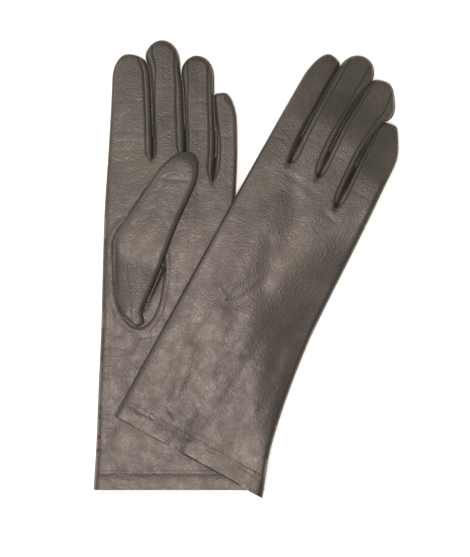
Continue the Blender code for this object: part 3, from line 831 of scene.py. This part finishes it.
def hand_panel(glove, face, spacing):
    """The upper (1) or under (-1) panel of a hand."""
    levels = set(np.arange(0, glove.top, spacing).round(3))
    exact = {f["flex"] for f in glove.fingers} | {glove.crotch(k, face) for k in range(3)}
    levels = np.array(sorted({a for a in levels if min(abs(a - b) for b in exact) > spacing * 0.3} | exact))
    counts = [max(4, round((glove.right(200) - glove.left(200)) / len(glove.fingers) / spacing))] * 4
    bands = np.concatenate([np.full(n + 1, k) for k, n in enumerate(counts)])
    shares = np.concatenate([np.linspace(0, 1, n + 1) for n in counts])
    is_gap = np.append(bands[1:] != bands[:-1], False)

    def shape(s, t):
        column = np.rint(s * (len(bands) - 1)).astype(int)
        v = levels[np.rint(t * (len(levels) - 1)).astype(int)]
        band, share = bands[column], shares[column]
        u, edge = np.zeros_like(v), np.full(v.shape, FAR)
        for number in range(len(glove.fingers)):
            mine = band == number
            left, right = finger_sides(glove, number, v, face)
            strip_left, strip_right = strip_widths(glove, number, v, face)
            left, right = left + strip_left, right - strip_right
            u = np.where(mine, left + (right - left) * share, u)
            from_left = np.where(strip_left > 0.05, u - left, FAR)
            from_right = np.where(strip_right > 0.05, right - u, FAR)
            edge = np.where(mine, np.minimum(from_left, from_right), edge)
        depth = depth_inside(glove, face, u, v)
        level = lift(glove, u, v)
        for number, spec in enumerate(glove.fingers):
            on_finger = (band == number) & (v > spec["flex"] - FOLD_MARGIN)
            level = np.where(on_finger, finger_lift(glove, number, v), level)
        z = face_height(glove, face, u, v, depth, level) + face * seam_groove(edge)
        hole = distance(LEFT_HOLE, u, v) if glove is LEFT and face > 0 else FAR
        side = (glove.right(v) - u - SIDE_SEAM) if glove is RIGHT and face > 0 else FAR
        return u, v, z, {"edge_mm": edge, "hole_mm": hole, "side_mm": side}

    def keep(s, t, u, v):
        column = np.floor(s * (len(bands) - 1)).astype(int)
        number = bands[column]
        flexes = np.array([f["flex"] for f in glove.fingers])[number]
        crotches = np.array([glove.crotch(k, face) for k in range(3)] + [0.0])[number]
        in_gap = is_gap[column]
        stays = np.where(in_gap, v < crotches, v < flexes)
        if glove.palm_up == (face > 0):
            stays &= distance(Thumb(glove).outline(SEWN_FROM, 0), u, v) >= -HOLE_MARGIN
        return stays

    label = "palm" if glove.palm_up == (face > 0) else "back"
    name = f"{glove.name}_{label}_skin"
    mesh = panel(name, glove, len(bands) - 1, len(levels) - 1, shape, keep, (0, 0, face))
    obj = piece(name, mesh, LEATHER)
    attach(obj, f"{glove.name}_hand")
    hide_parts(f"{glove.name}_{label}")
    return obj


# %% Make the four hand panels
for glove in (LEFT, RIGHT):
    for face, spacing in ((1, 0.9), (-1, 2.0)):  # a finer grid where it shows
        obj = hand_panel(glove, face, spacing)
        print(obj.name, len(obj.data.polygons), "faces")

# %% [markdown]
# ## Fingers
#
# A finger is a front and a back panel with a fourchette strip down each sewn side. The panels narrow into
# a round tip, so their grid is squeezed by a superellipse, which is fuller than a circle as a glove's tip
# is, and its last row meets in one point. The fold at the base is a joint.


# %% Shape of a finger
TIP_DRIFT = 22.0  # the last stretch, over which a tip leans
TIP_SLOPE = 1.2  # how fast the depth may grow from the very tip
TIP_CROWDING = 1.6  # how much closer the rows lie at the tip
FINGER_CELLS = (34, 74)  # across and along a finger's panel


def tip_share(glove, number, side, v):
    """How far into the rounding of its tip one side (0 or 1) of a finger is, and how much width is left."""
    spec = glove.fingers[number]
    run = np.where(side == 0, *spec["rounding"])
    past = np.clip((v - spec["tip"] + run) / run, 0, 1)
    return past, (1 - past**TIP_POWER) ** (1 / TIP_POWER)


def finger_place(glove, number, share, v, face):
    """Across a finger at a level: u for share -1 to 1, its depth inside the outline, and the half width."""
    spec = glove.fingers[number]
    left, right = finger_sides(glove, number, v, face)
    centre = (left + right) / 2 + spec["drift"] * smooth((v - spec["tip"] + TIP_DRIFT) / TIP_DRIFT)
    half = (right - left) / 2
    past, width = tip_share(glove, number, np.where(share < 0, 0, 1), v)
    x = share * width
    reach = (np.abs(x) ** TIP_POWER + past**TIP_POWER) ** (1 / TIP_POWER)
    depth = (1 - np.where(past > 0, reach, np.abs(x))) * half
    return centre + x * half, np.minimum(depth, (spec["tip"] - v) * TIP_SLOPE), half


def strip_shares(glove, number, v, face, half):
    """The strips as shares of the half width. A seam runs straight on until the tip's outline meets it."""
    shares = []
    for side, wide in enumerate(strip_widths(glove, number, v, face)):
        width = np.maximum(tip_share(glove, number, side, v)[1], 1e-4)
        shares.append(1 - np.minimum((half - wide) / (half * width), 1))
    return shares


def finger_levels(glove, number, t):
    """Levels from the fold to the tip, closer together at the tip."""
    flex, tip = glove.fingers[number]["flex"], glove.fingers[number]["tip"]
    return flex + (tip - flex) * (1 - (1 - t) ** TIP_CROWDING)


def finger_panel(glove, number, face):
    """The upper or under panel of a finger."""

    def shape(s, t):
        v = finger_levels(glove, number, t)
        half = finger_place(glove, number, 0 * v, v, face)[2]
        strip_left, strip_right = strip_shares(glove, number, v, face, half)
        share = -1 + strip_left + (2 - strip_left - strip_right) * s
        u, depth, half = finger_place(glove, number, share, v, face)
        from_left = np.where(strip_left > 0.01, (share + 1 - strip_left) * half, FAR)
        from_right = np.where(strip_right > 0.01, (1 - strip_right - share) * half, FAR)
        edge = np.minimum(from_left, from_right)
        z = face_height(glove, face, u, v, depth, finger_lift(glove, number, v)) + face * seam_groove(edge)
        return u, v, z, {"edge_mm": edge}

    return panel(finger_name(glove, number, face), glove, *FINGER_CELLS, shape, facing=(0, 0, face))


def finger_name(glove, number, face):
    side = "front" if glove.palm_up == (face > 0) else "back"
    return f"{glove.name}_{glove.fingers[number]['name']}_{side}"


STRIP_CELLS = 12  # across a strip, from its upper seam to its under seam
STRIP_STEP = 2 / STRIP_CELLS  # the middle cell closes the gap to the next finger


def fourchette(glove, number, side):
    """The strip sewn down one side of a finger: side -1 towards the index, 1 towards the little finger."""

    def shape(s, t):
        v = finger_levels(glove, number, t)
        turn = 1 - 2 * s
        face = np.where(turn >= 0, 1, -1)
        half = finger_place(glove, number, 0 * v, v, 1)[2]
        widths = [strip_shares(glove, number, v, f, half)[0 if side < 0 else 1] for f in (1, -1)]
        wide = np.where(turn >= 0, widths[0], widths[1])
        spread = np.where(turn >= 0, turn, np.maximum(-turn - STRIP_STEP, 0) / (1 - STRIP_STEP))
        share = side * (1 - wide * spread**2)
        up = finger_place(glove, number, share, v, 1)
        down = finger_place(glove, number, share, v, -1)
        u = np.where(turn >= 0, up[0], down[0])
        depth = np.where(turn >= 0, up[1], down[1])
        edge = wide * (1 - spread**2) * half
        z = finger_lift(glove, number, v) + HALF + face * ((HALF - CLEAR) * roll(depth) + seam_groove(edge))
        return u, v, z, {"edge_mm": np.where(wide > 0.01, edge, FAR)}

    def keep(s, t, u, v):
        half = finger_place(glove, number, 0 * v, v, 1)[2]
        widths = [strip_shares(glove, number, v, f, half)[0 if side < 0 else 1] for f in (1, -1)]
        return np.where(s < 0.5, *widths) > 0.012

    outward = (side * glove.cos, side * glove.sin, 0)
    return panel(strip_name(glove, number, side), glove, STRIP_CELLS, 90, shape, keep, outward)


def strip_name(glove, number, side):
    towards = "index" if side < 0 else "little"
    return f"{glove.name}_{glove.fingers[number]['name']}_fourchette_{towards}_side"


# %% Make the fingers
BEND_REACH = 22.0  # the leather that takes part in a fold
LINING_SHORTFALL = 2.2  # of the knit inside a finger, so that it ends within the leather


def hinge_ends(glove, number):
    """The fold's middle, and the place from which the finger turns as one."""
    spec = glove.fingers[number]
    left, right = finger_sides(glove, number, np.array([spec["flex"]]), 1)
    middle = (left + right) / 2
    levels = (np.array([spec["flex"] + step]) for step in (0, BEND_REACH))
    return [tuple(glove.world(middle, level, np.array([HALF]))[0]) for level in levels]


def place_on_finger(obj, glove, number, node_name):
    start, end = hinge_ends(glove, number)
    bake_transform(obj)
    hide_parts(node_name)


def finger_lining(glove, number):
    """A closed knitted tube inside the finger."""

    def shape(s, t):
        spec = glove.fingers[number]
        length = spec["tip"] - spec["flex"] - LINING_SHORTFALL
        v = spec["flex"] + 0.3 + length * (1 - (1 - t) ** TIP_CROWDING)
        angle = 2 * math.pi * s
        closed = np.where(t > 0.999, 0.0, 1.0)
        half = finger_place(glove, number, 0 * v, v, 1)[2]
        share = np.cos(angle) * (1 - LINING_DEPTH / half - 0.02) * closed
        u, depth, half = finger_place(glove, number, share, v, 1)
        tall = (HALF - LINING_DEPTH - 0.6) * roll(np.minimum(depth, half), 3.0) * closed
        rise = np.sign(np.sin(angle)) * tall * np.abs(np.sin(angle)) ** 0.5
        return u, v, finger_lift(glove, number, v) + HALF + rise, {}

    return panel(f"{glove.name}_{glove.fingers[number]['name']}_lining_tube", glove, 28, 30, shape)


for glove in (LEFT, RIGHT):
    for number, spec in enumerate(glove.fingers):
        for face in (1, -1):
            name = finger_name(glove, number, face)
            obj = piece(name + "_skin", finger_panel(glove, number, face), LEATHER)
            place_on_finger(obj, glove, number, name)
        for side in (-1, 1):
            if (side < 0 and number == 0) or (side > 0 and number == 3):
                continue
            name = strip_name(glove, number, side)
            obj = piece(name + "_strip", fourchette(glove, number, side), LEATHER)
            place_on_finger(obj, glove, number, name)
    print(glove.name, "fingers made, the last strip with", len(obj.data.polygons), "faces")

# %% [markdown]
# ## Forks
#
# Where two fourchettes meet they are one strip that turns in a V at the crotch. The crotch lies lower on
# the back of the hand than on the palm, so the turn of the V is a small sloping web. Each fork runs along
# the V from one finger's fold to the next one's, and across from its upper seam to its under seam.


# %% Make the forks
def fork(glove, k):
    """The turn of gap k, a thin web between the upper and the under seam."""
    flexes = [glove.fingers[k]["flex"], glove.fingers[k + 1]["flex"]]

    def shape(s, t):
        turn = 1 - 2 * s
        along = 2 * t - 1
        climb = np.abs(along) ** 1.5
        flex = np.where(along < 0, flexes[0], flexes[1])
        crotch = {f: glove.crotch(k, f) for f in (1, -1)}
        low = (1 + turn) / 2 * crotch[1] + (1 - turn) / 2 * crotch[-1]
        v = low + (flex - low) * climb
        wide = {}
        for f in (1, -1):
            edge_v = crotch[f] + (flex - crotch[f]) * climb
            left_side = strip_widths(glove, k, edge_v, f)[1]
            right_side = strip_widths(glove, k + 1, edge_v, f)[0]
            wide[f] = np.where(along < 0, left_side, right_side)
        face = np.where(turn >= 0, 1, -1)
        strip = np.where(turn >= 0, wide[1], wide[-1]) * turn**2
        gap = np.where(turn >= 0, glove.opening[k], CLOSED_GAP) * smooth((v - low) / 10)
        side = np.where(along < 0, -1, 1)
        u = glove.gaps[k](v) + side * (gap + strip)
        edge = np.where(turn >= 0, wide[1], wide[-1]) * (1 - turn**2)
        level = lift(glove, u, v)
        sloped = np.where(along < 0, finger_lift(glove, k, v), finger_lift(glove, k + 1, v))
        level = np.where(v > flex - FOLD_MARGIN, sloped, level)
        z = level + HALF + face * ((HALF - CLEAR) * roll(strip) + seam_groove(edge) * roll(strip, 1.0))
        return u, v, z, {"edge_mm": np.maximum(edge, 0.0)}

    first, second = glove.fingers[k]["name"], glove.fingers[k + 1]["name"]
    name = f"{glove.name}_fork_{first}_{second}"
    obj = piece(name + "_strip", panel(name, glove, 12, 80, shape, facing=(0, 0, 1)), LEATHER, SKIN * 0.5)
    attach(obj, f"{glove.name}_hand")
    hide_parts(name)


for glove in (LEFT, RIGHT):
    for k in range(3):
        fork(glove, k)
    print(glove.name, "crotches on the upper face, mm from the hem:", glove.crotches)

# %% [markdown]
# ## The thumbs
#
# A thumb is a piece of its own, sewn into an oval hole in the palm. It lies folded across the palm: low at
# the bottom of the hole, where its root grows out of the palm, and lying free on the palm from its fold
# upwards. Between its two outlines its surface rises like a flattened tube, from the palm at the sewn edge
# and from half its own height at the free edges.


# %% Heights of a thumb
def thumb_heights(thumb, a, u, v, share):
    """The palm below, the height of the thumb's edge above it, and of its crown."""
    palm_depth = depth_inside(thumb.glove, 1, u, v)
    palm = face_height(thumb.glove, 1, u, v, palm_depth, 0.0)
    sewn = 1 - smooth((a + 4) / 14)
    base = HEIGHT + (palm - HEIGHT) * sewn + 0.3 * (1 - sewn) - 0.12 * sewn
    edge_left = HALF * smooth((a - 4) / 16)
    edge_right = HALF * smooth((a + 24) / 22)
    lean = smooth((share + 1) / 2)
    edge = edge_left * (1 - lean) + edge_right * lean
    crown = HEIGHT * (0.3 + 0.7 * smooth((a + 34) / 46))
    return base, edge, np.maximum(crown, edge + 0.2)


def thumb_spacing(t, end):
    """Even rows along the root, and rows that crowd towards the tip."""
    return 1 - (1 - t) ** (1.5 if end > 80 else 1.0)


def thumb_relief(a, c):
    """The thumb's own unevenness, with the crease behind its nail."""
    warp = 1.5 * noise(a / 12, c / 9, 51)
    height = 0.28 * noise(a / 26, c / 11, 52) + 0.10 * noise(a / 9, c / 6, 53)
    height -= 0.20 * bump(a - 66 - 0.25 * c - warp, 1.2) * smooth((c + 12) / 6)
    height -= 0.12 * creases((a + warp) / 9, c / 16, 54, 2.6) * smooth((a - 20) / 20)
    return height


def left_thumb(face, start, end):
    """The upper (1) or under (-1) surface of the lower glove's thumb, from start to end along it."""
    thumb = Thumb(LEFT)

    def shape(s, t):
        a = start + (end - start) * thumb_spacing(t, end)
        share = 2 * s - 1
        c, depth = thumb.across(a, share)
        u, v = thumb.place(a, c)
        base, edge, crown = thumb_heights(thumb, a, u, v, share)
        if face > 0:
            z = base + edge + (crown - edge) * roll(depth, 5.5)
            z += thumb_relief(a, c) * roll(depth, 8) * smooth((a + 30) / 20)
        else:
            z = base + edge * (1 - roll(depth, 4.0))
        on_edge = np.minimum(1 - share, 1 + share) * 15
        seam = np.where(share > 0, on_edge, FAR) if face > 0 else FAR
        return u, v, z, {"edge_mm": np.where(a > -24, seam, FAR)}

    return shape


def right_thumb(face, start, end):
    """The upper glove's thumb, hidden below its palm: flat at its root and full further on."""
    thumb = Thumb(RIGHT)

    def shape(s, t):
        a = start + (end - start) * thumb_spacing(t, end)
        share = 2 * s - 1
        c, depth = thumb.across(a, share)
        u, v = thumb.place(a, c * 0.8)
        full = smooth(a / 22)
        middle = 8.9 * (1 - full) + HALF * full
        half = 0.4 * (1 - full) + (HALF - 0.05) * full
        z = middle - face * half * roll(depth, 6.0)
        return u, v, z, {}

    return shape


# %% Make the thumbs
THUMB_SKIN = SKIN * 0.8  # a thumb's leather is pared thinner
THUMB_CELLS = (44, 90)  # across and along the free thumb
ROOT_CELLS = (44, 60)
ROOT_FROM = -34.8  # the root's lowest place, along the thumb


def thumb_hinge(glove):
    """Where a thumb's fold starts and ends."""
    ends = (Thumb(glove).place(np.array([a]), -4.0) for a in (0.0, 20.0))
    return [tuple(glove.world(u, v, np.array([HALF]))[0]) for u, v in ends]


def make_thumb(glove, maker, up):
    """The two layers of the free thumb, and the root, which stays with the hand."""
    name = glove.name
    start, end = thumb_hinge(glove)
    for face, label in ((1, "upper"), (-1, "under")):
        shape = maker(face, 0.0, Thumb(glove).length)
        mesh = panel(f"{name}_thumb_{label}_sheet", glove, *THUMB_CELLS, shape, facing=(0, 0, face * up))
        obj = piece(f"{name}_thumb_{label}_skin", mesh, LEATHER, THUMB_SKIN)
        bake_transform(obj)
        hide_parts(f"{name}_thumb_{label}")
    shape = maker(1, ROOT_FROM, 0.0)
    mesh = panel(f"{name}_thumb_root_sheet", glove, *ROOT_CELLS, shape, facing=(0, 0, up))
    obj = piece(f"{name}_thumb_root_skin", mesh, LEATHER, THUMB_SKIN)
    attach(obj, f"{name}_hand")
    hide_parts(f"{name}_thumb_root")
    print(name, "thumb made")


make_thumb(LEFT, left_thumb, 1)
make_thumb(RIGHT, right_thumb, -1)

# %% [markdown]
# ## The hems and the linings of hand and fingers
#
# The cuff's edge is turned in and stuck down, so at the opening the leather is double and rounded, and on
# the outside the turned edge shows as a faint line. A closed band inside the outer leather makes the
# second layer, and its first rows roll out to meet the outer one. The lining of the hand is the same kind
# of band, longer and set deeper, and each finger has a knitted tube of its own.


# %% Make the hems and the linings of the hands
BAND_COLUMNS = 160  # round a band
HEM_DEPTH = 13.0  # of the turned edge
HEM_INSET = SKIN + 0.15  # of the turned edge inside the outline
LINING_FROM, LINING_TO = 14.3, 185.0  # the levels between which the hand is lined
LINING_INSET = LINING_DEPTH + 0.6


def band(glove, start, end, inset, lip):
    """A closed band inside the hand, from one level to another. A lip rolls its first rows outwards."""

    def shape(s, t):
        v = start + (end - start) * t**1.5
        inner = inset - lip * (1 - smooth((v - start) / 0.8))
        angle = s * 4
        upper = angle <= 2
        share = np.where(upper, angle / 2, (4 - angle) / 2)
        share = (1 - np.cos(math.pi * share)) / 2
        left, right = glove.left(v) + inner, glove.right(v) - inner
        u = left + (right - left) * share
        depth = np.minimum(u - left, right - u)
        half = (HALF - inner) * roll(depth, ROLL - inner)
        z = lift(glove, u, v) + HALF + np.where(upper, 1, -1) * half
        return u, v, z, {}

    return shape


def add_band(glove, name, node_name, start, end, inset, rows, material, thickness, lip=0.0):
    """Makes a band and lets it ride on the hand."""
    mesh = panel(name + "_sheet", glove, BAND_COLUMNS, rows, band(glove, start, end, inset, lip))
    face_outwards(mesh)
    obj = piece(name, mesh, material, thickness)
    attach(obj, f"{glove.name}_hand")
    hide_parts(node_name)


for glove in (LEFT, RIGHT):
    hem = f"{glove.name}_cuff_hem"
    add_band(
        glove, hem + "_turned_edge", hem, 0.0, HEM_DEPTH, HEM_INSET, 14, LEATHER, SKIN * 0.8, 0.5
    )
    body = f"{glove.name}_hand_lining"
    add_band(
        glove, body + "_tube", body, LINING_FROM, LINING_TO, LINING_INSET, 90, LINING, KNIT
    )
    for number, spec in enumerate(glove.fingers):
        mesh = finger_lining(glove, number)
        face_outwards(mesh)
        name = f"{glove.name}_{spec['name']}_lining"
        obj = piece(name + "_knit", mesh, LINING, KNIT)
        place_on_finger(obj, glove, number, name)
    print(glove.name, "hem, hand lining and", len(glove.fingers), "finger linings made")

# %% [markdown]
# ## Linings of the thumbs
#
# The knit inside a thumb is a closed tube as well. It lies half way between the thumb's two layers, so it
# borrows their surfaces: each point takes the middle of both, and a part of the room between them.


# %% Make the linings of the thumbs
LINING_REACH = 0.93  # of the thumb's length, so that the knit ends within the leather


def thumb_lining(glove, maker):
    """A closed knitted tube inside a thumb."""
    middles = {face: maker(face, 2.0, Thumb(glove).length) for face in (1, -1)}

    def shape(s, t):
        angle = s * 4
        upper = angle <= 2
        share = np.where(upper, angle / 2, (4 - angle) / 2)
        side = 0.06 + 0.88 * share
        along = t * LINING_REACH
        u, v, above, _ = middles[1](side, along)
        below = middles[-1](side, along)[2]
        middle, half = (above + below) / 2, np.abs(above - below) / 2 - LINING_DEPTH
        closed = np.where(t > 0.999, 0.0, 1.0)
        half = np.maximum(half, 0.1) * np.sqrt(np.clip(np.sin(np.pi * share), 0, 1)) * closed
        return u, v, middle + np.where(upper, 1, -1) * half, {}

    name = f"{glove.name}_thumb_lining"
    mesh = panel(name + "_sheet", glove, 56, 30, shape)
    face_outwards(mesh)
    obj = piece(name + "_knit", mesh, LINING, KNIT)
    start, end = thumb_hinge(glove)
    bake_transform(obj)
    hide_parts(name)
    print(name, "made")


thumb_lining(LEFT, left_thumb)
thumb_lining(RIGHT, right_thumb)

# %% [markdown]
# ## Table, light and camera
#
# The gloves lie on plain white, lit by a soft light nearly overhead, a wider one from the far left and a
# pale room. So shadows stay faint and the leather's swells show by their sheen. The camera looks straight
# down from above the middle.


# %% Stage, lights and camera
def emitter(name, place, size, power, tint):
    """A round area light at a place in metres, turned to the middle of the table."""
    lamp = bpy.data.lights.new(name, "AREA")
    lamp.shape, lamp.size, lamp.energy, lamp.color = "DISK", size, power, colour(tint)[:3]
    obj = bpy.data.objects.new(name, lamp)
    obj.location = place
    obj.rotation_euler = (-obj.location).to_track_quat("-Z", "Y").to_euler()
    bpy.context.scene.collection.objects.link(obj)


bm = bmesh.new()
bmesh.ops.create_grid(bm, x_segments=1, y_segments=1, size=3.0)
bmesh.ops.translate(bm, verts=bm.verts, vec=(0, 0, -0.3 * MM))
mesh = bpy.data.meshes.new("table")
bm.to_mesh(mesh)
bm.free()
table = bpy.data.objects.new("table", mesh)
bpy.context.scene.collection.objects.link(table)
paper, tree = new_material("white_paper")
white = colour("#fbfbfa")
matt = {"Base Color": white, "Roughness": 0.9, "Emission Color": white, "Emission Strength": 0.35}
shader = node(tree, "ShaderNodeBsdfPrincipled", matt)
node(tree, "ShaderNodeOutputMaterial", Surface=shader.outputs[0])
mesh.materials.append(paper)

world = bpy.data.worlds.new("pale_room")
world.use_nodes = True
world.node_tree.nodes["Background"].inputs[0].default_value = colour("#f6f6f4")
world.node_tree.nodes["Background"].inputs[1].default_value = 0.5
bpy.context.scene.world = world
emitter("soft_light_above", (-0.10, -0.20, 1.5), 0.42, 12.5, "#ffe9de")
emitter("soft_light_left", (-0.9, 0.5, 1.2), 1.0, 8.0, "#fff8f0")
bpy.context.scene.view_settings.view_transform = "Standard"

VIEW_HEIGHT = 1.2  # of the camera over the gloves
FRAME_TALL = 0.3713  # how much of the table the picture's height shows
lens = bpy.data.cameras.new("camera")
lens.sensor_width = 36.0
lens.lens = lens.sensor_width * VIEW_HEIGHT / FRAME_TALL
camera = bpy.data.objects.new("camera", lens)
camera.location = (-0.0092, -0.0074, VIEW_HEIGHT + HEIGHT * MM)
bpy.context.scene.collection.objects.link(camera)
bpy.context.scene.camera = camera

print("camera with a", round(lens.lens), "mm lens,", VIEW_HEIGHT, "m above the gloves")


# %% Finish
bpy.context.view_layer.update()
